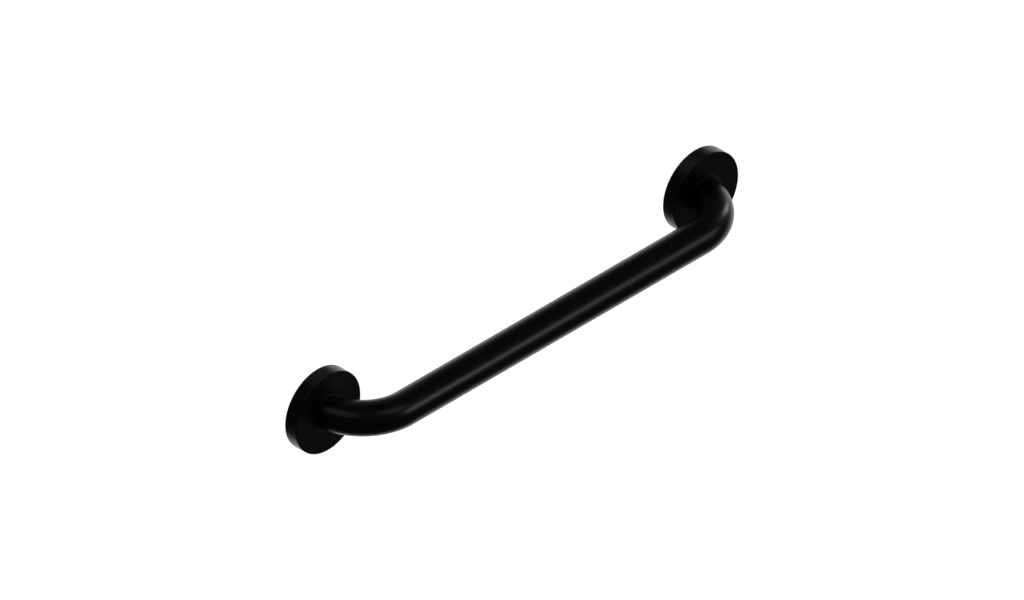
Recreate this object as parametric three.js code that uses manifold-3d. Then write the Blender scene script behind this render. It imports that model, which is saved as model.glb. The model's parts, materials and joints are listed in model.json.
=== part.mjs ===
// Wall grab rail: one bent steel tube welded to two round fixing plates, each hidden by a push-fit rose.
// Millimetres. X runs along the rail, Y points into the wall and Z is up. The origin lies on the wall
// plane, midway between the two fixing centres, so the whole rail stands at negative Y.
import * as THREE from "three";
import { mergeVertices } from "three/addons/utils/BufferGeometryUtils.js";
import Module from "manifold-3d";

// Driving dimensions.
const FIXING_CENTRES = 450; // between the axes of the two legs
const TUBE_DIAMETER = 31;
const TUBE_WALL = 1.5;
const STAND_OFF = 54; // wall plane to the axis of the grip
const BEND_RADIUS = 50; // of the tube's centreline
const ROSE_DIAMETER = 77;
const ROSE_DEPTH = 13.5; // wall plane to the rose's front face
const ROSE_SHEET = 1.2;
const ROSE_EDGE_RADIUS = 0.8;
const PLATE_DIAMETER = 68;
const PLATE_THICKNESS = 3;
const SCREW_CIRCLE = 50; // diameter of the circle of screw holes
const SCREW_HOLES = 3;
const SCREW_HOLE_DIAMETER = 6.5;
const COUNTERSINK_DIAMETER = 10;
const GASKET_THICKNESS = 1;
const GAP = 0.3; // left between pieces that touch on the real rail
const RUNNING_GAP = 0.9; // left where the rose swings past the clip ring

// Worked out from them.
const TUBE_RADIUS = TUBE_DIAMETER / 2;
const LEG_X = FIXING_CENTRES / 2;
const LEG_LENGTH = STAND_OFF - BEND_RADIUS; // the bend starts this far from the wall
const PLATE_BACK = GASKET_THICKNESS + GAP;
const PLATE_FRONT = PLATE_BACK + PLATE_THICKNESS;
const PLATE_RADIUS = PLATE_DIAMETER / 2;
const ROSE_RADIUS = ROSE_DIAMETER / 2;
const ROSE_INNER_RADIUS = ROSE_RADIUS - ROSE_SHEET;
const ROSE_INNER_FACE = ROSE_DEPTH - ROSE_SHEET;
const ROSE_HOLE_RADIUS = TUBE_RADIUS + 3;

// Facets of the round shapes.
const TUBE_FACETS = 32;
const BEND_STEPS = 10;
const ROUND_FACETS = 40;
const HOLE_FACETS = 16;
const MERGE_TOLERANCE = 1e-4;

const wasm = await Module();
wasm.setup();

// A closed geometry as a manifold-3d solid.
function solidOf(geometry) {
  const bare = geometry.index ? geometry.toNonIndexed() : geometry.clone();
  bare.deleteAttribute("normal");
  bare.deleteAttribute("uv");
  const merged = mergeVertices(bare, MERGE_TOLERANCE);
  const triVerts = new Uint32Array(merged.index.array);
  const vertProperties = merged.attributes.position.array;
  return new wasm.Manifold(new wasm.Mesh({ numProp: 3, vertProperties, triVerts }));
}

// A manifold-3d solid as a geometry with flat-shaded normals.
function geometryOf(solid) {
  const mesh = solid.getMesh();
  const indexed = new THREE.BufferGeometry()
    .setAttribute("position", new THREE.BufferAttribute(mesh.vertProperties, 3))
    .setIndex(new THREE.BufferAttribute(mesh.triVerts, 1));
  const flat = indexed.toNonIndexed();
  flat.computeVertexNormals();
  return flat;
}

// A closed profile of [radius, distance from the wall] points turned about the leg's axis. The points run
// from the wall outwards on the profile's outer side.
function turned(profile) {
  const points = [...profile, profile[0]].map(([radius, out]) => new THREE.Vector2(radius, -out));
  return new THREE.LatheGeometry(points.reverse(), ROUND_FACETS);
}

// Points of a quarter round edge from angle to angle + 90 degrees, as [radius, distance from the wall].
function quarterRound(centreRadius, centreOut, radius, angle, steps) {
  return Array.from({ length: steps + 1 }, (_, i) => {
    const a = THREE.MathUtils.degToRad(angle + (90 * i) / steps);
    return [centreRadius + radius * Math.cos(a), centreOut + radius * Math.sin(a)];
  });
}

// A round sheet parallel to the wall, with round holes given as {x, z, radius}.
function sheet(radius, holes, back, front) {
  const outline = new THREE.Shape().absarc(0, 0, radius, 0, 2 * Math.PI);
  for (const hole of holes) {
    outline.holes.push(new THREE.Path().absarc(hole.x, hole.z, hole.radius, 0, 2 * Math.PI, true));
  }
  const depth = front - back;
  const made = new THREE.ExtrudeGeometry(outline, {
    depth,
    bevelEnabled: false,
    curveSegments: ROUND_FACETS / 2,
  });
  return made.translate(0, 0, back).rotateX(Math.PI / 2);
}

// Centres of the screw holes about the leg's axis, the first at the top.
function screwCentres() {
  return Array.from({ length: SCREW_HOLES }, (_, i) => {
    const a = Math.PI / 2 + (2 * Math.PI * i) / SCREW_HOLES;
    return { x: (SCREW_CIRCLE / 2) * Math.cos(a), z: (SCREW_CIRCLE / 2) * Math.sin(a) };
  });
}

// Centreline of the tube: leg, bend, grip, bend, leg. The position u runs evenly over the stations of the
// sweep, which crowd into the bends, and not over the length.
class RailCentreline extends THREE.Curve {
  static stations = 2 * (BEND_STEPS + 2);

  // Point and direction of travel on the left half, at a station counted from the left end.
  leftHalf(station) {
    if (station < 1) {
      const out = THREE.MathUtils.lerp(PLATE_BACK, LEG_LENGTH, station);
      return [new THREE.Vector3(-LEG_X, -out, 0), new THREE.Vector3(0, -1, 0)];
    }
    if (station <= BEND_STEPS + 1) {
      const a = ((station - 1) / BEND_STEPS) * (Math.PI / 2);
      const x = -LEG_X + BEND_RADIUS * (1 - Math.cos(a));
      const out = LEG_LENGTH + BEND_RADIUS * Math.sin(a);
      return [new THREE.Vector3(x, -out, 0), new THREE.Vector3(Math.sin(a), -Math.cos(a), 0)];
    }
    const x = THREE.MathUtils.lerp(BEND_RADIUS - LEG_X, 0, station - BEND_STEPS - 1);
    return [new THREE.Vector3(x, -STAND_OFF, 0), new THREE.Vector3(1, 0, 0)];
  }

  at(u) {
    const station = u * RailCentreline.stations;
    if (station <= RailCentreline.stations / 2) return this.leftHalf(station);
    const [point, direction] = this.leftHalf(RailCentreline.stations - station);
    return [point.setX(-point.x), direction.setY(-direction.y)];
  }

  getPointAt(u) {
    return this.at(u)[0];
  }

  getTangentAt(u) {
    return this.at(u)[1];
  }
}

// The bent tube, open at both ends.
function grabTube() {
  const section = new THREE.Shape().absarc(0, 0, TUBE_RADIUS, 0, 2 * Math.PI);
  section.holes.push(new THREE.Path().absarc(0, 0, TUBE_RADIUS - TUBE_WALL, 0, 2 * Math.PI, true));
  return new THREE.ExtrudeGeometry(section, {
    extrudePath: new RailCentreline(),
    steps: RailCentreline.stations,
    curveSegments: TUBE_FACETS / 2,
  });
}

// A cone or cylinder along the leg's axis, between two distances from the wall.
function drill(x, z, back, backRadius, front, frontRadius) {
  const made = new THREE.CylinderGeometry(backRadius, frontRadius, front - back, HOLE_FACETS);
  return made.translate(x, -(back + front) / 2, z);
}

// The steel disc that the tube is welded to, with countersunk screw holes.
function mountingPlate() {
  const centre = { x: 0, z: 0, radius: TUBE_RADIUS + GAP };
  const holeRadius = SCREW_HOLE_DIAMETER / 2;
  const sinkRadius = COUNTERSINK_DIAMETER / 2;
  const sinkBack = PLATE_FRONT - (sinkRadius - holeRadius);
  const past = 1; // the cutters run this far past both faces
  let plate = solidOf(sheet(PLATE_RADIUS, [centre], PLATE_BACK, PLATE_FRONT));
  for (const { x, z } of screwCentres()) {
    const hole = drill(x, z, PLATE_BACK - past, holeRadius, PLATE_FRONT + past, holeRadius);
    const sink = drill(x, z, sinkBack, holeRadius, PLATE_FRONT + past, sinkRadius + past);
    plate = plate.subtract(solidOf(hole)).subtract(solidOf(sink));
  }
  return geometryOf(plate);
}

// The fillet weld that runs round the tube on the plate's front face.
function weldBead() {
  const inner = TUBE_RADIUS + 0.65; // clear of the bend, which leans inwards as it leaves the plate
  const leg = 3.8;
  const bulge = 0.35;
  const back = PLATE_FRONT + GAP;
  const steps = 5;
  const face = Array.from({ length: steps + 1 }, (_, i) => {
    const t = i / steps;
    const swell = bulge * Math.sin(Math.PI * t);
    return [inner + leg * (1 - t) + swell, back + leg * t + swell];
  });
  return turned([[inner, back], ...face]);
}

// The thin foam seal between plate and wall.
function wallGasket() {
  const screws = screwCentres().map((hole) => ({ ...hole, radius: 4 }));
  const centre = { x: 0, z: 0, radius: TUBE_RADIUS + 1 };
  return sheet(PLATE_RADIUS - 2.5, [centre, ...screws], 0, GASKET_THICKNESS);
}

// The split nylon channel that springs round the plate's rim and grips the rose. Its front lip is cut into
// fingers, and one slot goes right through so that the ring can spring open.
function clipRing() {
  const outer = ROSE_INNER_RADIUS - RUNNING_GAP;
  const channel = PLATE_RADIUS + GAP;
  const lip = PLATE_RADIUS - 2;
  const back = GAP;
  const front = PLATE_FRONT + GAP + 1;
  const fingers = 12;
  const slotWidth = 1.6;
  const slotLength = 2 * (outer - lip + 1);
  let ring = solidOf(
    turned([
      [lip, back],
      [outer, back],
      [outer, front],
      [lip, front],
      [lip, PLATE_FRONT + GAP],
      [channel, PLATE_FRONT + GAP],
      [channel, PLATE_BACK - GAP],
      [lip, PLATE_BACK - GAP],
    ]),
  );
  for (let i = 0; i < fingers; i++) {
    const isSplit = i === fingers / 2;
    const start = isSplit ? back - 1 : PLATE_FRONT - 1;
    const depth = front + 1 - start;
    const slot = new THREE.BoxGeometry(slotWidth, depth, slotLength)
      .translate(0, -(start + depth / 2), outer)
      .rotateY((2 * Math.PI * i) / fingers);
    ring = ring.subtract(solidOf(slot));
  }
  return geometryOf(ring);
}

// The nylon ring that guides the rose along the tube. Its bore lies off centre, towards the middle of the
// rail, because the tube has begun to bend where it passes through the rose.
function guideRing(inboard) {
  const bendOut = ROSE_DEPTH - LEG_LENGTH; // the ring's front, measured from where the bend starts
  const neckRadius = ROSE_HOLE_RADIUS - GAP;
  const flangeRadius = neckRadius + 2.8;
  const flangeFront = ROSE_INNER_FACE - GAP;
  const flangeBack = flangeFront - 1.1;
  const bendIn = flangeBack - LEG_LENGTH;
  const innerReach = BEND_RADIUS - Math.sqrt((BEND_RADIUS - TUBE_RADIUS) ** 2 - bendOut ** 2);
  const outerReach = Math.sqrt((BEND_RADIUS + TUBE_RADIUS) ** 2 - bendIn ** 2) - BEND_RADIUS;
  const clearance = 0.4;
  const bore = {
    x: (inboard * (innerReach - outerReach)) / 2,
    z: 0,
    radius: (innerReach + outerReach) / 2 + clearance,
  };
  const flange = solidOf(sheet(flangeRadius, [bore], flangeBack, flangeFront));
  const neck = solidOf(sheet(neckRadius, [bore], flangeFront, ROSE_DEPTH));
  return geometryOf(flange.add(neck));
}

// The drawn cup that hides the plate: flat face, softly broken edge and a straight skirt.
function roseCover() {
  const edge = quarterRound(
    ROSE_RADIUS - ROSE_EDGE_RADIUS,
    ROSE_DEPTH - ROSE_EDGE_RADIUS,
    ROSE_EDGE_RADIUS,
    0,
    3,
  );
  const innerCorner = 0.6;
  return turned([
    [ROSE_RADIUS, GAP],
    ...edge,
    [ROSE_HOLE_RADIUS, ROSE_DEPTH],
    [ROSE_HOLE_RADIUS, ROSE_INNER_FACE],
    [ROSE_INNER_RADIUS - innerCorner, ROSE_INNER_FACE],
    [ROSE_INNER_RADIUS, ROSE_INNER_FACE - innerCorner],
    [ROSE_INNER_RADIUS, GAP],
  ]);
}

const blackCoat = new THREE.MeshStandardMaterial({ color: 0x0e0e0f, roughness: 0.38, metalness: 0 });
const blackNylon = new THREE.MeshStandardMaterial({ color: 0x161617, roughness: 0.5, metalness: 0 });
const greyFoam = new THREE.MeshStandardMaterial({ color: 0x5c5e60, roughness: 0.9, metalness: 0 });

function piece(name, geometry, material, x = 0) {
  const mesh = new THREE.Mesh(geometry, material);
  mesh.name = name;
  mesh.position.x = x;
  return mesh;
}

const rail = new THREE.Group();
rail.add(piece("grab_tube", grabTube(), blackCoat));
for (const [side, sign] of [
  ["left", -1],
  ["right", 1],
]) {
  const x = sign * LEG_X;
  rail.add(
    piece(`${side}_mounting_plate`, mountingPlate(), blackCoat, x),
    piece(`${side}_weld_bead`, weldBead(), blackCoat, x),
    piece(`${side}_wall_gasket`, wallGasket(), greyFoam, x),
    piece(`${side}_clip_ring`, clipRing(), blackNylon, x),
    piece(`${side}_guide_ring`, guideRing(-sign), blackNylon, x),
    piece(`${side}_rose_cover`, roseCover(), blackCoat, x),
  );
}

export default rail;
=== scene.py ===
"""Looks of a wall grab rail: tube, roses, plates, welds, rings and seals, their finishes, and the stage."""

import json
import math

import bpy
import numpy as np
from bpy.props import FloatProperty, FloatVectorProperty, IntProperty, PointerProperty
from mathutils import Matrix, Vector


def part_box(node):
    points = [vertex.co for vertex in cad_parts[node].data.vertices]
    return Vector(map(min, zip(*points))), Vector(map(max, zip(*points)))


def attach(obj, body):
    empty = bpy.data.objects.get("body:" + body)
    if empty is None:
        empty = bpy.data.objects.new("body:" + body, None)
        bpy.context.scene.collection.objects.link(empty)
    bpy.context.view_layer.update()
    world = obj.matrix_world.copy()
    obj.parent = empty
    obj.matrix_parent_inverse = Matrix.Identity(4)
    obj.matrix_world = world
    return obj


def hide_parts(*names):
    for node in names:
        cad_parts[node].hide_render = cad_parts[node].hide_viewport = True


bl_info = {
    "name": "Wall grab rail",
    "version": (1, 0, 0),
    "blender": (4, 5, 0),
    "location": "3D View > Sidebar > Grab rail",
    "description": "Builds the pieces, finishes and stage of a bent-tube wall grab rail",
    "category": "Add Mesh",
}

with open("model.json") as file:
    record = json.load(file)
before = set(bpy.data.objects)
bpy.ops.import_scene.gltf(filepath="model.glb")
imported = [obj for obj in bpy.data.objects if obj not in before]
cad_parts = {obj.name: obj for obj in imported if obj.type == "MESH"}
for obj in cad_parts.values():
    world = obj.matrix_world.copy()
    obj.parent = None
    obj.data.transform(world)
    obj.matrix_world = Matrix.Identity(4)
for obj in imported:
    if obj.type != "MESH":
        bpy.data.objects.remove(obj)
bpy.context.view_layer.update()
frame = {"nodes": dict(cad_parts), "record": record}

# The rail's two ends, and which way each lies along x.
SIDES = {"left": -1, "right": 1}


# ---- sizes read from the frame, in metres ----


def span(node, axis):
    """Lowest and highest value of a CAD node along one axis."""
    low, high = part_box(node)
    return low[axis], high[axis]


def joint_place(name):
    """Where a joint of the record sits."""
    joints = frame["record"]["behaviour"]["joints"]
    return next(joint["pos_m"] for joint in joints if joint["name"] == name)


def distances_from_wall(node):
    """Distance from the wall plane to a node's back and to its front."""
    low, high = span(node, 1)
    return -high, -low


TUBE_RADIUS = (span("grab_tube", 2)[1] - span("grab_tube", 2)[0]) / 2
TUBE_BACK, TUBE_FRONT = distances_from_wall("grab_tube")
GRIP_OUT = TUBE_FRONT - TUBE_RADIUS
LEG_X = span("grab_tube", 0)[1] - TUBE_RADIUS
BEND_X, BEND_OUT = joint_place("right_cover_swing")[0], -joint_place("right_cover_swing")[1]
BEND_RADIUS = LEG_X - BEND_X
LEG_LENGTH = BEND_OUT - TUBE_BACK
BEND_LENGTH = BEND_RADIUS * math.pi / 2
GRIP_LENGTH = 2 * BEND_X
TUBE_LENGTH = 2 * (LEG_LENGTH + BEND_LENGTH) + GRIP_LENGTH
ROSE_RADIUS = span("right_rose_cover", 2)[1]
ROSE_BACK, ROSE_FRONT = distances_from_wall("right_rose_cover")
PLATE_RADIUS = span("right_mounting_plate", 2)[1]
PLATE_BACK, PLATE_FRONT = distances_from_wall("right_mounting_plate")
SEAL_RADIUS = span("right_wall_gasket", 2)[1]
SEAL_BACK, SEAL_FRONT = distances_from_wall("right_wall_gasket")
GUIDE_RADIUS = span("right_guide_ring", 2)[1]
GUIDE_BACK, GUIDE_FRONT = distances_from_wall("right_guide_ring")
WELD_RADIUS = span("right_weld_bead", 2)[1]
WELD_FRONT = distances_from_wall("right_weld_bead")[1]


# ---- sizes and colours that a user may change ----


def metres(name, description, default):
    """A length that a user may change."""
    return FloatProperty(
        name=name, description=description, default=default, min=0.0, subtype="DISTANCE", unit="LENGTH"
    )


def colour(name, description, default):
    """A colour that a user may change."""
    return FloatVectorProperty(
        name=name, description=description, default=default, min=0.0, max=1.0, size=3, subtype="COLOR"
    )


class GrabRailTubeSizes(bpy.types.PropertyGroup):
    """Sizes of the grab tube"""

    wall: metres("Tube wall", "Thickness of the tube's wall", 0.0015)
    round_facets: IntProperty(
        name="Facets round the tube", description="Points round the tube's section", default=96, min=12
    )
    bend_steps: IntProperty(
        name="Steps in a bend", description="Stations of the sweep in each bend", default=56, min=8
    )


class GrabRailRoseSizes(bpy.types.PropertyGroup):
    """Sizes of the rose covers and their guide rings"""

    sheet: metres("Rose sheet", "Thickness of the rose's sheet steel", 0.0012)
    edge: metres("Rose edge radius", "Radius of the rose's outer front edge", 0.0007)
    back_edge: metres("Rose rear edge radius", "Rounding of the skirt's rear edge", 0.0003)
    hole: metres("Rose hole radius", "Radius of the hole that the tube passes", TUBE_RADIUS + 0.003)
    guide_slack: metres("Guide ring slack", "Gap between guide ring and tube", 0.00012)
    facets: IntProperty(name="Facets", description="Points round a rose or ring", default=192, min=24)


class GrabRailFixingSizes(bpy.types.PropertyGroup):
    """Sizes of the holes in the mounting plates and seals"""

    screw_circle: metres("Screw circle radius", "Radius of the circle of screw holes", 0.025)
    screw_hole: metres("Screw hole radius", "Radius of a screw hole", 0.00325)
    countersink: metres("Countersink radius", "Radius of a countersink at the plate's face", 0.005)
    seal_hole: metres("Seal hole radius", "Radius of the seal's holes for the screws", 0.004)
    bore_gap: metres("Plate bore gap", "Gap between the tube and the plate's bore", 0.0003)
    seal_bore: metres("Seal bore radius", "Radius of the hole in the seal's middle", TUBE_RADIUS + 0.001)


class GrabRailFinishes(bpy.types.PropertyGroup):
    """Colours of the finishes"""

    coat: colour("Powder coat", "Colour of the powder coat", (0.0024, 0.0024, 0.0026))
    coat_worn: colour("Rubbed powder coat", "Powder coat on rubbed edges", (0.008, 0.008, 0.0084))
    nylon: colour("Nylon", "Colour of the guide and clip rings", (0.0034, 0.0034, 0.0036))
    foam: colour("Foam", "Colour of the wall seals", (0.11, 0.115, 0.12))
    floor: colour("Floor", "Colour of the studio floor", (1.0, 1.0, 1.0))


# ---- surfaces ----


def grid_quads(rows, columns, wrap_rows=False):
    """Corner numbers of the quads between neighbouring points of a grid. Each row of points is a closed
    ring, and the last row may join the first."""
    i = np.arange(rows if wrap_rows else rows - 1)[:, None]
    j = np.arange(columns)[None, :]
    i_next, j_next = (i + 1) % rows, (j + 1) % columns
    corners = (i * columns + j, i * columns + j_next, i_next * columns + j_next, i_next * columns + j)
    return np.stack(corners, axis=-1).reshape(-1, 4)


def enclosed_volume(points, quads):
    """Signed volume: a sixth of the sum of corner triple products of the quads' halves."""
    a, b, c, d = (points[quads[:, k]] for k in range(4))
    halves = np.einsum("ij,ij->i", a, np.cross(b, c)) + np.einsum("ij,ij->i", a, np.cross(c, d))
    return halves.sum() / 6


def joined(points, quads):
    """The same surface with points that coincide to a micrometre made one."""
    rounded = np.round(points, decimals=6)
    _, first, where = np.unique(rounded, axis=0, return_index=True, return_inverse=True)
    return points[first], where.reshape(-1)[quads]


def rounded_outline(corners, radii, guard, steps=6):
    """A closed outline whose corners are arcs. Each arc is centred on the corner's bisector, at the radius
    over the sine of half the angle between its sides, and has a guard point a little before and after it,
    which keeps the shading of the flats flat."""
    corners = np.asarray(corners, float)
    pieces = []
    for k, radius in enumerate(radii):
        corner = corners[k]
        back = corners[k - 1] - corner
        on = corners[(k + 1) % len(corners)] - corner
        back, on = back / np.linalg.norm(back), on / np.linalg.norm(on)
        half = math.acos(np.clip(back @ on, -1, 1)) / 2
        reach = radius / math.tan(half)
        centre = corner + (back + on) / np.linalg.norm(back + on) * radius / math.sin(half)
        start, end = corner + back * reach - centre, corner + on * reach - centre
        sweep = math.pi - 2 * half
        t = np.linspace(0, 1, steps + 1)[:, None]
        arc = (np.sin((1 - t) * sweep) * start + np.sin(t * sweep) * end) / math.sin(sweep)
        pieces += [[corner + back * (reach + guard)], centre + arc, [corner + on * (reach + guard)]]
    return np.concatenate(pieces)


def turned(outline, centre_x, facets):
    """A closed outline of (radius, distance from the wall) turned about a leg's axis: x is the radius times
    the angle's cosine, z the radius times its sine."""
    angle = np.linspace(0, 2 * math.pi, facets, endpoint=False)[None, :]
    radius, out = outline[:, 0][:, None], outline[:, 1][:, None]
    points = np.stack(
        np.broadcast_arrays(centre_x + radius * np.cos(angle), -out, radius * np.sin(angle)), axis=-1
    )
    return points.reshape(-1, 3), grid_quads(len(outline), facets, wrap_rows=True)


def centreline(travel):
    """Centre of the tube and its outward normal at distances along it. Two bends turn the heading from
    straight out, to along the wall, to straight back: each adds a quarter circle's sine and one minus its
    cosine."""
    first = np.clip((travel - LEG_LENGTH) / BEND_RADIUS, 0, math.pi / 2)
    second = np.clip((travel - LEG_LENGTH - BEND_LENGTH - GRIP_LENGTH) / BEND_RADIUS, 0, math.pi / 2)
    along = np.clip(travel - LEG_LENGTH - BEND_LENGTH, 0, GRIP_LENGTH)
    back = np.clip(travel - LEG_LENGTH - 2 * BEND_LENGTH - GRIP_LENGTH, 0, LEG_LENGTH)
    rise = np.sin(first) - 1 + np.cos(second)
    x = -LEG_X + BEND_RADIUS * (1 - np.cos(first)) + along + BEND_RADIUS * np.sin(second)
    out = TUBE_BACK + np.clip(travel, 0, LEG_LENGTH) + BEND_RADIUS * rise - back
    heading = first + second
    zero = np.zeros_like(travel)
    centre = np.stack([x, -out, zero], axis=-1)
    normal = np.stack([-np.cos(heading), -np.sin(heading), zero], axis=-1)
    return centre, normal


def tube_surface(sizes, leg_steps=4, grip_steps=8, lip_steps=8):
    """The section carried along the centreline: out along the outside, over a half-round lip, back along
    the inside and over the other lip. A point is the centre, plus the radius times the angle's cosine along
    the normal, plus the radius times its sine along z."""
    lip = sizes.wall / 2
    middle = TUBE_RADIUS - lip
    bend_end = LEG_LENGTH + BEND_LENGTH
    half = np.concatenate([
        np.linspace(lip, LEG_LENGTH, leg_steps, endpoint=False),
        np.linspace(LEG_LENGTH, bend_end, sizes.bend_steps, endpoint=False),
        np.linspace(bend_end, TUBE_LENGTH / 2, grip_steps + 1),
    ])
    stations = np.concatenate([half, TUBE_LENGTH - half[-2::-1]])
    turn = np.linspace(0, math.pi, lip_steps + 1)[1:-1]
    travel = np.concatenate([
        stations, TUBE_LENGTH - lip + lip * np.sin(turn), stations[::-1], lip - lip * np.sin(turn)
    ])
    radius = np.concatenate([
        np.full(len(stations), TUBE_RADIUS), middle + lip * np.cos(turn),
        np.full(len(stations), TUBE_RADIUS - sizes.wall), middle - lip * np.cos(turn),
    ])
    centre, normal = centreline(travel)
    angle = np.linspace(0, 2 * math.pi, sizes.round_facets, endpoint=False)[None, :, None]
    up = np.array([0.0, 0.0, 1.0])
    section = np.cos(angle) * normal[:, None, :] + np.sin(angle) * up
    points = centre[:, None, :] + radius[:, None, None] * section
    return points.reshape(-1, 3), grid_quads(len(travel), sizes.round_facets, wrap_rows=True)


def rose_surface(side, sizes, inner_edge=0.0005, guard=0.00025):
    """A drawn cup: flat face, soft front edge, straight skirt. Its outline is turned about the leg."""
    inner = ROSE_RADIUS - sizes.sheet
    face = ROSE_FRONT - sizes.sheet
    back = sizes.back_edge
    corners = [
        (ROSE_RADIUS, ROSE_BACK), (ROSE_RADIUS, ROSE_FRONT), (sizes.hole, ROSE_FRONT),
        (sizes.hole, face), (inner, face), (inner, ROSE_BACK),
    ]
    outline = rounded_outline(corners, [back, sizes.edge, back, back, inner_edge, back], guard)
    return turned(outline, side * LEG_X, sizes.facets)


def guide_surface(side, sizes, play=0.0003, edge=0.00012, edge_steps=4, bore_steps=8):
    """A flanged ring with a bore that follows the bend. Outside it is circles about the leg, with a little
    play to the rose. In the bore, the distance from the bend's centre is the bend radius plus the bore
    radius times the angle's cosine, so x comes from it and the distance from the wall by Pythagoras."""
    neck = sizes.hole - play
    bore = TUBE_RADIUS + sizes.guide_slack
    flange_front = ROSE_FRONT - sizes.sheet - play
    turn = np.linspace(0, math.pi / 2, edge_steps + 1)[1:]
    outside = np.concatenate([
        [(GUIDE_RADIUS, GUIDE_BACK + edge), (GUIDE_RADIUS, flange_front - edge)],
        [(GUIDE_RADIUS - edge, flange_front), (neck, flange_front), (neck, GUIDE_FRONT - edge)],
        np.stack([neck - edge + edge * np.cos(turn), GUIDE_FRONT - edge + edge * np.sin(turn)], axis=-1),
    ])
    out = np.linspace(GUIDE_FRONT, GUIDE_BACK, bore_steps + 1)[:, None]
    angle = np.linspace(0, 2 * math.pi, sizes.facets, endpoint=False)[None, :]
    outer_x = side * (LEG_X + outside[:, :1] * np.cos(angle))
    outer_z = outside[:, :1] * np.sin(angle)
    outer = np.stack(np.broadcast_arrays(outer_x, -outside[:, 1:], outer_z), axis=-1)
    reach = np.sqrt((BEND_RADIUS + bore * np.cos(angle)) ** 2 - (out - BEND_OUT) ** 2)
    inner = np.stack(np.broadcast_arrays(side * (BEND_X + reach), -out, bore * np.sin(angle)), axis=-1)
    # The rim's first circle again, moved to the ring's back, closes the surface.
    back_rim = outer[:1] * np.array([1, 0, 1]) + np.array([0, -GUIDE_BACK, 0])
    points = np.concatenate([outer, inner, back_rim], axis=0)
    return points.reshape(-1, 3), grid_quads(len(points), points.shape[1], wrap_rows=True)


def weld_surface(side, facets=240, ripples=44, steps=12, fused=0.0001, swelling=0.00022, rippling=0.00018):
    """A fillet in the corner of tube and plate, fused a little into both. Its face is slanted, and swells by
    the sine of the way across it. Ripples of laid metal stand on it: the sine of half their number times the
    angle, taken without its sign, times the square of the first sine."""
    inner, back = TUBE_RADIUS - fused, PLATE_FRONT - fused
    width = WELD_RADIUS - inner - swelling / 2
    t = np.linspace(0, 1, steps + 1)
    swell = swelling * np.sin(math.pi * t)
    face = np.stack([inner + width * (1 - t) + swell, back + (WELD_FRONT - back) * t + swell], axis=-1)
    outline = np.concatenate([[(inner, back)], face])
    points, quads = turned(outline, side * LEG_X, facets)
    angle = np.linspace(0, 2 * math.pi, facets, endpoint=False)[None, :]
    rise = np.concatenate([[0.0], np.sin(math.pi * t) ** 2])[:, None]
    ripple = rippling * rise * np.abs(np.sin(ripples / 2 * angle))
    lift = np.stack([ripple * np.cos(angle), -ripple, ripple * np.sin(angle)], axis=-1).reshape(-1, 3)
    return points + lift, quads


def pierced_disc(side, bore, rim, circle, hole_stations, sides=3, along=40, across=16):
    """A disc with a bore and a ring of holes, the first straight up. Each hole has a sector of its own, with
    points along its two arcs and across between them. In polar terms the sector is a rectangle round the
    hole, and its faces blend straight from the hole's circle to the rectangle's border. Each hole's wall
    passes through (distance from wall, radius) stations, from the disc's back to its front."""
    half = math.pi / sides
    sweep = np.linspace(-half, half, along, endpoint=False)
    depth = np.linspace(0, 1, across, endpoint=False)
    border = np.concatenate([
        np.stack([np.full(along, rim), sweep], axis=-1),
        np.stack([rim + (bore - rim) * depth, np.full(across, half)], axis=-1),
        np.stack([np.full(along, bore), -sweep], axis=-1),
        np.stack([bore + (rim - bore) * depth, np.full(across, -half)], axis=-1),
    ])
    aim = np.arctan2(border[:, 1] * circle, border[:, 0] - circle)

    def rings(out, hole_radius, shares):
        """Rows of points at shares of the way from the hole's circle to the border."""
        across_x = circle + hole_radius * np.cos(aim)
        across_y = hole_radius * np.sin(aim)
        start = np.stack([np.hypot(across_x, across_y), np.arctan2(across_y, across_x)], axis=-1)
        blend = start + (border - start) * shares[:, None, None]
        return np.concatenate([blend, np.full((len(shares), len(border), 1), out)], axis=-1)

    # The shares lie close together at both ends, so that the bevelled edges leave the faces flat.
    shares = np.array([0.0, 0.04, 0.3, 0.65, 0.97, 1.0])
    rows = [rings(*hole_stations[0], shares[::-1])]
    rows += [rings(*station, shares[:1]) for station in hole_stations[1:-1]]
    rows += [rings(*hole_stations[-1], shares)]
    polar = np.concatenate(rows, axis=0)
    count, columns = polar.shape[:2]
    arcs = np.concatenate([np.arange(along), along + across + np.arange(along)])
    last = (count - 1) * columns
    walls = np.stack([arcs + last, (arcs + 1) % columns + last, (arcs + 1) % columns, arcs], axis=-1)
    quads = np.concatenate([grid_quads(count, columns), walls])
    flat = polar.reshape(-1, 3)
    turn = math.pi / 2 + 2 * half * np.arange(sides)[:, None]
    x = side * LEG_X + flat[:, 0] * np.cos(flat[:, 1] + turn)
    z = flat[:, 0] * np.sin(flat[:, 1] + turn)
    points = np.stack(np.broadcast_arrays(x, -flat[:, 2], z), axis=-1).reshape(-1, 3)
    quads = (quads[None] + len(flat) * np.arange(sides)[:, None, None]).reshape(-1, 4)
    return joined(points, quads)


# ---- finishes ----


def shader_tree(name):
    """A new material, its nodes, its links and its main shader."""
    made = bpy.data.materials.new(name)
    made.use_nodes = True
    nodes = made.node_tree.nodes
    return made, nodes, made.node_tree.links, nodes["Principled BSDF"]


def darker(shade, share):
    """A colour at a share of its brightness."""
    return [share * part for part in shade]


def grain(nodes, links, place, scale, detail=2.0):
    """A noise's value at a place, with so many waves in a metre."""
    noise = nodes.new("ShaderNodeTexNoise")
    noise.inputs["Scale"].default_value = scale
    noise.inputs["Detail"].default_value = detail
    links.new(place, noise.inputs["Vector"])
    return noise.outputs["Fac"]


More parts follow.
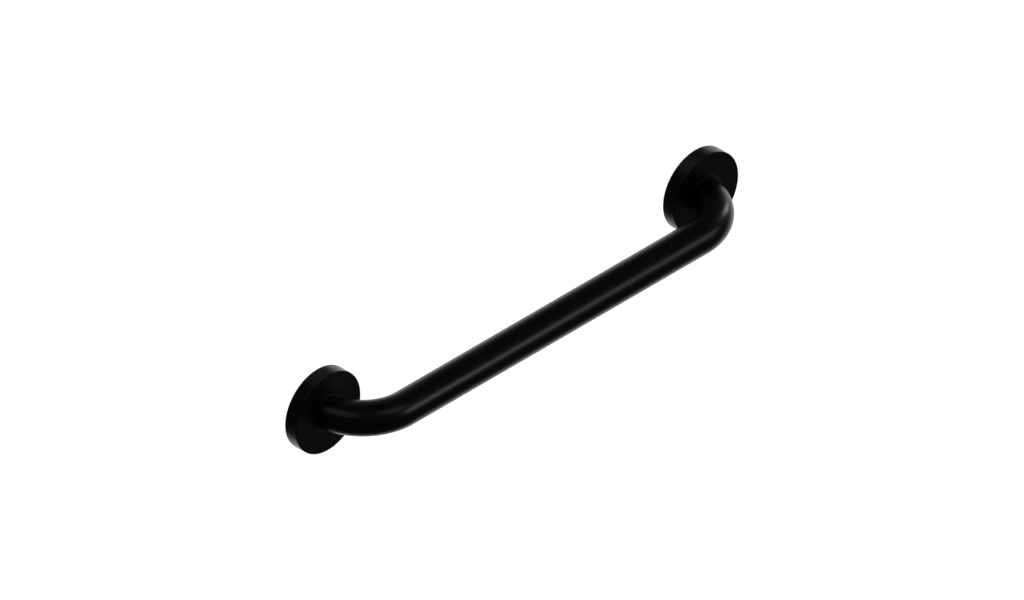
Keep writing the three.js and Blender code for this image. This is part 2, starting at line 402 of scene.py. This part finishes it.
def ranged(nodes, links, value, low=0.0, high=1.0, start=0.3, end=0.7):
    """A value between start and end carried to low and high. Noise lies mostly between 0.3 and 0.7."""
    node = nodes.new("ShaderNodeMapRange")
    node.inputs["From Min"].default_value = start
    node.inputs["From Max"].default_value = end
    node.inputs["To Min"].default_value = low
    node.inputs["To Max"].default_value = high
    links.new(value, node.inputs["Value"])
    return node.outputs["Result"]


def combined(nodes, links, operation, first, second):
    """Two values added or multiplied."""
    node = nodes.new("ShaderNodeMath")
    node.operation = operation
    links.new(first, node.inputs[0])
    links.new(second, node.inputs[1])
    return node.outputs["Value"]


def mixed(nodes, links, share, first, second):
    """Two colours mixed by a share. A colour is a socket or three numbers."""
    node = nodes.new("ShaderNodeMix")
    node.data_type = "RGBA"
    links.new(share, node.inputs["Factor"])
    for key, value in (("A", first), ("B", second)):
        socket = next(s for s in node.inputs if s.name == key and s.type == "RGBA")
        if isinstance(value, bpy.types.NodeSocket):
            links.new(value, socket)
        else:
            socket.default_value = (*value, 1.0)
    return next(s for s in node.outputs if s.type == "RGBA")


def bumps(nodes, links, height, distance, strength=1.0, under=None):
    """A normal bumped by a height worth so many metres, on top of another bumped normal if one is given."""
    node = nodes.new("ShaderNodeBump")
    node.inputs["Strength"].default_value = strength
    node.inputs["Distance"].default_value = distance
    links.new(height, node.inputs["Height"])
    if under is not None:
        links.new(under, node.inputs["Normal"])
    return node.outputs["Normal"]


def powder_coat(name, finishes):
    """Satin black powder coat: faint orange peel under a fine grain, cloudy gloss, and rubbed edges where
    the surface is most convex."""
    made, nodes, links, shader = shader_tree(name)
    place = nodes.new("ShaderNodeTexCoord").outputs["Object"]
    clouds = grain(nodes, links, place, scale=22.0, detail=3.0)
    peel = grain(nodes, links, place, scale=420.0, detail=1.0)
    speck = grain(nodes, links, place, scale=2600.0)

    coat = tuple(finishes.coat)
    cloudy = mixed(nodes, links, ranged(nodes, links, clouds), darker(coat, 0.82), coat)
    convex = nodes.new("ShaderNodeNewGeometry").outputs["Pointiness"]
    edges = ranged(nodes, links, convex, start=0.53, end=0.62)
    patches = ranged(nodes, links, speck, low=0.25)
    rubbed = combined(nodes, links, "MULTIPLY", edges, patches)
    tone = mixed(nodes, links, rubbed, cloudy, tuple(finishes.coat_worn))
    links.new(tone, shader.inputs["Base Color"])

    cloudy_roughness = ranged(nodes, links, clouds, low=0.285, high=0.325)
    fine_roughness = ranged(nodes, links, speck, low=-0.012, high=0.012)
    links.new(combined(nodes, links, "ADD", cloudy_roughness, fine_roughness), shader.inputs["Roughness"])

    peeled = bumps(nodes, links, peel, distance=0.000012, strength=0.5)
    grained = bumps(nodes, links, speck, distance=0.000002, strength=0.5, under=peeled)
    links.new(grained, shader.inputs["Normal"])
    shader.inputs["IOR"].default_value = 1.45
    return made


def moulded_nylon(name, finishes):
    """Moulded black nylon: a matt, slightly uneven surface with fine spark-eroded texture."""
    made, nodes, links, shader = shader_tree(name)
    place = nodes.new("ShaderNodeTexCoord").outputs["Object"]
    flow = grain(nodes, links, place, scale=60.0)
    pits = grain(nodes, links, place, scale=1900.0, detail=3.0)
    nylon = tuple(finishes.nylon)
    tone = mixed(nodes, links, ranged(nodes, links, flow), darker(nylon, 0.75), nylon)
    links.new(tone, shader.inputs["Base Color"])
    links.new(ranged(nodes, links, pits, low=0.42, high=0.56), shader.inputs["Roughness"])
    links.new(bumps(nodes, links, pits, distance=0.00001, strength=0.6), shader.inputs["Normal"])
    return made


def cell_foam(name, finishes):
    """Closed-cell grey foam: small round cells, uneven in tone and darker where they meet."""
    made, nodes, links, shader = shader_tree(name)
    place = nodes.new("ShaderNodeTexCoord").outputs["Object"]
    cells = nodes.new("ShaderNodeTexVoronoi")
    cells.inputs["Scale"].default_value = 900.0
    links.new(place, cells.inputs["Vector"])
    from_middle = cells.outputs["Distance"]
    mottle = grain(nodes, links, place, scale=120.0, detail=3.0)
    foam = tuple(finishes.foam)
    skin = mixed(nodes, links, ranged(nodes, links, mottle), darker(foam, 0.7), foam)
    gap = ranged(nodes, links, from_middle, high=0.8, end=0.8)
    links.new(mixed(nodes, links, gap, skin, darker(foam, 0.45)), shader.inputs["Base Color"])
    links.new(ranged(nodes, links, mottle, low=0.85, high=0.95), shader.inputs["Roughness"])
    links.new(bumps(nodes, links, from_middle, distance=0.00008), shader.inputs["Normal"])
    return made


def pale_floor(name, finishes):
    """Pale studio floor that gives its own even light, with the faintest mottling."""
    made, nodes, links, shader = shader_tree(name)
    place = nodes.new("ShaderNodeTexCoord").outputs["Object"]
    mottle = grain(nodes, links, place, scale=3.0)
    pale = tuple(finishes.floor)
    tone = mixed(nodes, links, ranged(nodes, links, mottle), darker(pale, 0.995), pale)
    links.new(tone, shader.inputs["Base Color"])
    links.new(tone, shader.inputs["Emission Color"])
    shader.inputs["Emission Strength"].default_value = 1.0
    shader.inputs["Roughness"].default_value = 0.9
    return made


# The record's material slots: the name of each one's finish, and the function that makes it.
FINISHES = {
    "black_powder_coat": ("satin black powder coat", powder_coat),
    "black_nylon": ("moulded black nylon", moulded_nylon),
    "grey_foam": ("grey cell foam", cell_foam),
}


def finish_of(slot):
    """The finish of a material slot, made on first use and shared from then on."""
    name, make = FINISHES[slot]
    return bpy.data.materials.get(name) or make(name, bpy.context.scene.grab_rail_finishes)


# ---- pieces ----


def new_piece(name, surface, slot, body, node, sharp=40.0, bevel=0.0):
    """Puts a surface into a mesh object that rides on a body and stands for a CAD node. Edges that turn by
    more than the sharp angle, in degrees, are shaded sharp, and a bevel of some width may break them."""
    points, quads = surface
    if enclosed_volume(points, quads) < 0:
        quads = quads[:, ::-1]
    mesh = bpy.data.meshes.new(name)
    mesh.from_pydata(points.tolist(), [], quads.tolist())
    if mesh.validate():
        raise RuntimeError(f"{name} has a bad face")
    mesh.shade_smooth()
    mesh.set_sharp_from_angle(angle=math.radians(sharp))
    mesh.materials.append(finish_of(slot))
    piece = bpy.data.objects.new(name, mesh)
    bpy.context.scene.collection.objects.link(piece)
    if bevel:
        edge = piece.modifiers.new("broken edges", "BEVEL")
        edge.width = bevel
        edge.segments = 2
        edge.limit_method = "ANGLE"
        edge.angle_limit = math.radians(sharp)
        edge.harden_normals = True
    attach(piece, body)
    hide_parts(node)


class GRABRAIL_OT_tube(bpy.types.Operator):
    """Make the bent grab tube"""

    bl_idname = "grabrail.tube"
    bl_label = "Grab tube"

    def execute(self, context):
        tube = tube_surface(context.scene.grab_rail_tube)
        new_piece("bent_grab_tube", tube, "black_powder_coat", "rail", "grab_tube", sharp=60.0)
        return {"FINISHED"}


class GRABRAIL_OT_roses(bpy.types.Operator):
    """Make the two rose covers"""

    bl_idname = "grabrail.roses"
    bl_label = "Rose covers"

    def execute(self, context):
        for side, sign in SIDES.items():
            rose = rose_surface(sign, context.scene.grab_rail_rose)
            new_piece(
                f"{side}_rose", rose, "black_powder_coat", f"{side}_cover", f"{side}_rose_cover", sharp=60.0
            )
        return {"FINISHED"}


class GRABRAIL_OT_guides(bpy.types.Operator):
    """Make the guide rings between roses and tube"""

    bl_idname = "grabrail.guides"
    bl_label = "Guide rings"

    def execute(self, context):
        for side, sign in SIDES.items():
            guide = guide_surface(sign, context.scene.grab_rail_rose)
            new_piece(f"{side}_guide", guide, "black_nylon", f"{side}_guide", f"{side}_guide_ring")
        return {"FINISHED"}


class GRABRAIL_OT_plates(bpy.types.Operator):
    """Make the mounting plates with their countersunk holes"""

    bl_idname = "grabrail.plates"
    bl_label = "Mounting plates"

    def execute(self, context):
        sizes = context.scene.grab_rail_fixing
        bore = TUBE_RADIUS + sizes.bore_gap
        sink = sizes.countersink - sizes.screw_hole
        stations = [
            (PLATE_BACK, sizes.screw_hole),
            (PLATE_FRONT - sink, sizes.screw_hole),
            (PLATE_FRONT, sizes.countersink),
        ]
        for side, sign in SIDES.items():
            plate = pierced_disc(sign, bore, PLATE_RADIUS, sizes.screw_circle, stations)
            new_piece(
                f"{side}_plate", plate, "black_powder_coat", "rail", f"{side}_mounting_plate", bevel=0.0002
            )
        return {"FINISHED"}


class GRABRAIL_OT_welds(bpy.types.Operator):
    """Make the rippled weld beads"""

    bl_idname = "grabrail.welds"
    bl_label = "Weld beads"

    def execute(self, context):
        for side, sign in SIDES.items():
            new_piece(f"{side}_weld", weld_surface(sign), "black_powder_coat", "rail", f"{side}_weld_bead")
        return {"FINISHED"}


class GRABRAIL_OT_seals(bpy.types.Operator):
    """Make the foam seals behind the plates"""

    bl_idname = "grabrail.seals"
    bl_label = "Wall seals"

    def execute(self, context):
        sizes = context.scene.grab_rail_fixing
        stations = [(SEAL_BACK, sizes.seal_hole), (SEAL_FRONT, sizes.seal_hole)]
        for side, sign in SIDES.items():
            seal = pierced_disc(sign, sizes.seal_bore, SEAL_RADIUS, sizes.screw_circle, stations)
            new_piece(f"{side}_seal", seal, "grey_foam", "rail", f"{side}_wall_gasket", bevel=0.0001)
        return {"FINISHED"}


class GRABRAIL_OT_clips(bpy.types.Operator):
    """Give the slotted clip rings their nylon"""

    bl_idname = "grabrail.clips"
    bl_label = "Clip rings"

    def execute(self, context):
        for side in SIDES:
            ring = frame["nodes"][f"{side}_clip_ring"]
            if not ring.material_slots:
                raise RuntimeError(f"{ring.name} has no material slot")
            for held in ring.material_slots:
                held.material = finish_of("black_nylon")
        return {"FINISHED"}


# ---- stage ----


# The camera looks down on the rail from the front and its left end, all but square-on to a cube's corner.
# Its own axes point right across its view, up it, and back towards it.
CAMERA_TURN, CAMERA_HEIGHT = math.radians(-45.2), math.radians(35.18)
CAMERA_RIGHT = Vector((math.cos(CAMERA_TURN), math.sin(CAMERA_TURN), 0))
CAMERA_UP = Vector((
    -math.sin(CAMERA_TURN) * math.sin(CAMERA_HEIGHT),
    math.cos(CAMERA_TURN) * math.sin(CAMERA_HEIGHT),
    math.cos(CAMERA_HEIGHT),
))
CAMERA_BACK = CAMERA_RIGHT.cross(CAMERA_UP)
CAMERA_DISTANCE = 1.5
CAMERA_REACH = (0.01, 50.0)
VIEW_WIDTH = 0.8594
# How far the view's middle lies to the right of the frame's origin, and above it.
VIEW_SHIFT = (0.0051, -0.0028)

# The world's bright side has its middle a little above straight away from the camera. The world is dim up
# to one cosine of the angle to that middle, and bright from the other on.
BRIGHT_MIDDLE = (CAMERA_UP * 0.05 - CAMERA_BACK).normalized()
DIM_COSINE, BRIGHT_COSINE = 0.51, 0.83
DIM_LIGHT, BRIGHT_LIGHT = 0.03, 1.0

# The soft panels stand at one distance from the grip. Each has a name, its direction from the grip, a shift
# sideways, its width, its height and its brightness.
PANEL_DISTANCE = 1.2
PANELS = (
    ("long soft key", (0.577, -0.764, 0.284), 0.175, 0.55, 0.33, 1.05),
    ("key, left end", (0.577, -0.764, 0.284), -0.30, 0.40, 0.33, 2.5),
    ("right side", (0.975, 0.02, 0.22), 0.0, 0.11, 0.28, 9.5),
    ("high left", (-0.72, 0.0, 0.69), 0.0, 0.80, 0.45, 0.45),
    ("high front", (0.0, -0.62, 0.78), 0.0, 0.56, 0.40, 0.8),
    ("high behind", (0.10, 0.62, 0.78), 0.0, 0.90, 0.30, 0.3),
)

# Half the floor's side, and how far it lies below the frame's origin.
FLOOR_HALF = 12.0
FLOOR_DROP = 0.6


def lay_floor():
    """A square floor below the rail, which neither lights the rail nor is mirrored in it."""
    signs = ((-1, -1), (1, -1), (1, 1), (-1, 1))
    corners = [(x * FLOOR_HALF, y * FLOOR_HALF, -FLOOR_DROP) for x, y in signs]
    mesh = bpy.data.meshes.new("studio_floor")
    mesh.from_pydata(corners, [], [(0, 1, 2, 3)])
    mesh.materials.append(pale_floor("pale studio floor", bpy.context.scene.grab_rail_finishes))
    floor = bpy.data.objects.new("studio_floor", mesh)
    bpy.context.scene.collection.objects.link(floor)
    floor.visible_glossy = False
    floor.visible_diffuse = False


def hang_panel(name, away, shift, width, height, brightness):
    """A flat area light that stands in a direction from the grip, faces back along it, and is moved sideways
    by a shift. Its power is its brightness times pi times its area."""
    away = Vector(away).normalized()
    side = Vector((0, 0, 1)).cross(away).normalized()
    light = bpy.data.lights.new(name, "AREA")
    light.shape = "RECTANGLE"
    light.size, light.size_y = width, height
    light.energy = brightness * math.pi * width * height
    panel = bpy.data.objects.new(name, light)
    bpy.context.scene.collection.objects.link(panel)
    panel.matrix_world = Matrix((side, away.cross(side), away)).transposed().to_4x4()
    panel.location = Vector((0, -GRIP_OUT, 0)) + away * PANEL_DISTANCE + side * shift
    panel.visible_camera = False


def studio_surround():
    """World light: white to the camera, and to the rail a soft bright side and a dim side. It goes smoothly
    from dim to bright with the cosine of the angle to the bright side's middle."""
    world = bpy.data.worlds.new("studio surround")
    world.use_nodes = True
    nodes, links = world.node_tree.nodes, world.node_tree.links
    nodes.clear()
    cosine = nodes.new("ShaderNodeVectorMath")
    cosine.operation = "DOT_PRODUCT"
    cosine.inputs[1].default_value = BRIGHT_MIDDLE
    links.new(nodes.new("ShaderNodeTexCoord").outputs["Generated"], cosine.inputs[0])
    level = nodes.new("ShaderNodeMapRange")
    level.interpolation_type = "SMOOTHSTEP"
    level.inputs["From Min"].default_value = DIM_COSINE
    level.inputs["From Max"].default_value = BRIGHT_COSINE
    level.inputs["To Min"].default_value = DIM_LIGHT
    level.inputs["To Max"].default_value = BRIGHT_LIGHT
    links.new(cosine.outputs["Value"], level.inputs["Value"])
    lit = nodes.new("ShaderNodeBackground")
    links.new(level.outputs["Result"], lit.inputs["Strength"])
    seen = nodes.new("ShaderNodeBackground")
    for background in (lit, seen):
        background.inputs["Color"].default_value = (1, 1, 1, 1)
    either = nodes.new("ShaderNodeMixShader")
    links.new(nodes.new("ShaderNodeLightPath").outputs["Is Camera Ray"], either.inputs["Fac"])
    links.new(lit.outputs["Background"], either.inputs[1])
    links.new(seen.outputs["Background"], either.inputs[2])
    links.new(either.outputs["Shader"], nodes.new("ShaderNodeOutputWorld").inputs["Surface"])
    return world


def parallel_camera():
    """A camera without perspective, turned by its own three axes."""
    lens = bpy.data.cameras.new("camera")
    lens.type = "ORTHO"
    lens.ortho_scale = VIEW_WIDTH
    lens.clip_start, lens.clip_end = CAMERA_REACH
    camera = bpy.data.objects.new("camera", lens)
    bpy.context.scene.collection.objects.link(camera)
    camera.matrix_world = Matrix((CAMERA_RIGHT, CAMERA_UP, CAMERA_BACK)).transposed().to_4x4()
    right, up = VIEW_SHIFT
    camera.location = CAMERA_RIGHT * right + CAMERA_UP * up + CAMERA_BACK * CAMERA_DISTANCE
    return camera


class GRABRAIL_OT_stage(bpy.types.Operator):
    """Lay the floor, hang the lights and set the camera"""

    bl_idname = "grabrail.stage"
    bl_label = "Stage"

    def execute(self, context):
        scene = context.scene
        lay_floor()
        for panel in PANELS:
            hang_panel(*panel)
        scene.world = studio_surround()
        scene.view_settings.view_transform = "Standard"
        scene.camera = parallel_camera()
        return {"FINISHED"}


# ---- add-on ----


class GRABRAIL_PT_panel(bpy.types.Panel):
    """Lists the rail's pieces and sizes"""

    bl_idname = "GRABRAIL_PT_panel"
    bl_label = "Grab rail"
    bl_space_type = "VIEW_3D"
    bl_region_type = "UI"
    bl_category = "Grab rail"

    def draw(self, context):
        for operator in OPERATORS:
            self.layout.operator(operator.bl_idname)
        for group in GROUPS:
            box = self.layout.box()
            held = getattr(context.scene, group)
            for name in held.bl_rna.properties.keys():
                if name not in {"rna_type", "name"}:
                    box.prop(held, name)


OPERATORS = (
    GRABRAIL_OT_tube,
    GRABRAIL_OT_roses,
    GRABRAIL_OT_guides,
    GRABRAIL_OT_plates,
    GRABRAIL_OT_welds,
    GRABRAIL_OT_seals,
    GRABRAIL_OT_clips,
    GRABRAIL_OT_stage,
)
GROUPS = {
    "grab_rail_tube": GrabRailTubeSizes,
    "grab_rail_rose": GrabRailRoseSizes,
    "grab_rail_fixing": GrabRailFixingSizes,
    "grab_rail_finishes": GrabRailFinishes,
}


def register():
    for group in GROUPS.values():
        bpy.utils.register_class(group)
    for name, group in GROUPS.items():
        setattr(bpy.types.Scene, name, PointerProperty(type=group))
    for held in (*OPERATORS, GRABRAIL_PT_panel):
        bpy.utils.register_class(held)


def unregister():
    for held in (GRABRAIL_PT_panel, *reversed(OPERATORS)):
        bpy.utils.unregister_class(held)
    for name in GROUPS:
        delattr(bpy.types.Scene, name)
    for group in reversed(GROUPS.values()):
        bpy.utils.unregister_class(group)


def main():
    """Makes every piece and the stage."""
    register()
    bpy.ops.grabrail.tube()
    bpy.ops.grabrail.roses()
    bpy.ops.grabrail.guides()
    bpy.ops.grabrail.plates()
    bpy.ops.grabrail.welds()
    bpy.ops.grabrail.seals()
    bpy.ops.grabrail.clips()
    bpy.ops.grabrail.stage()


if __name__ == "__main__":
    main()
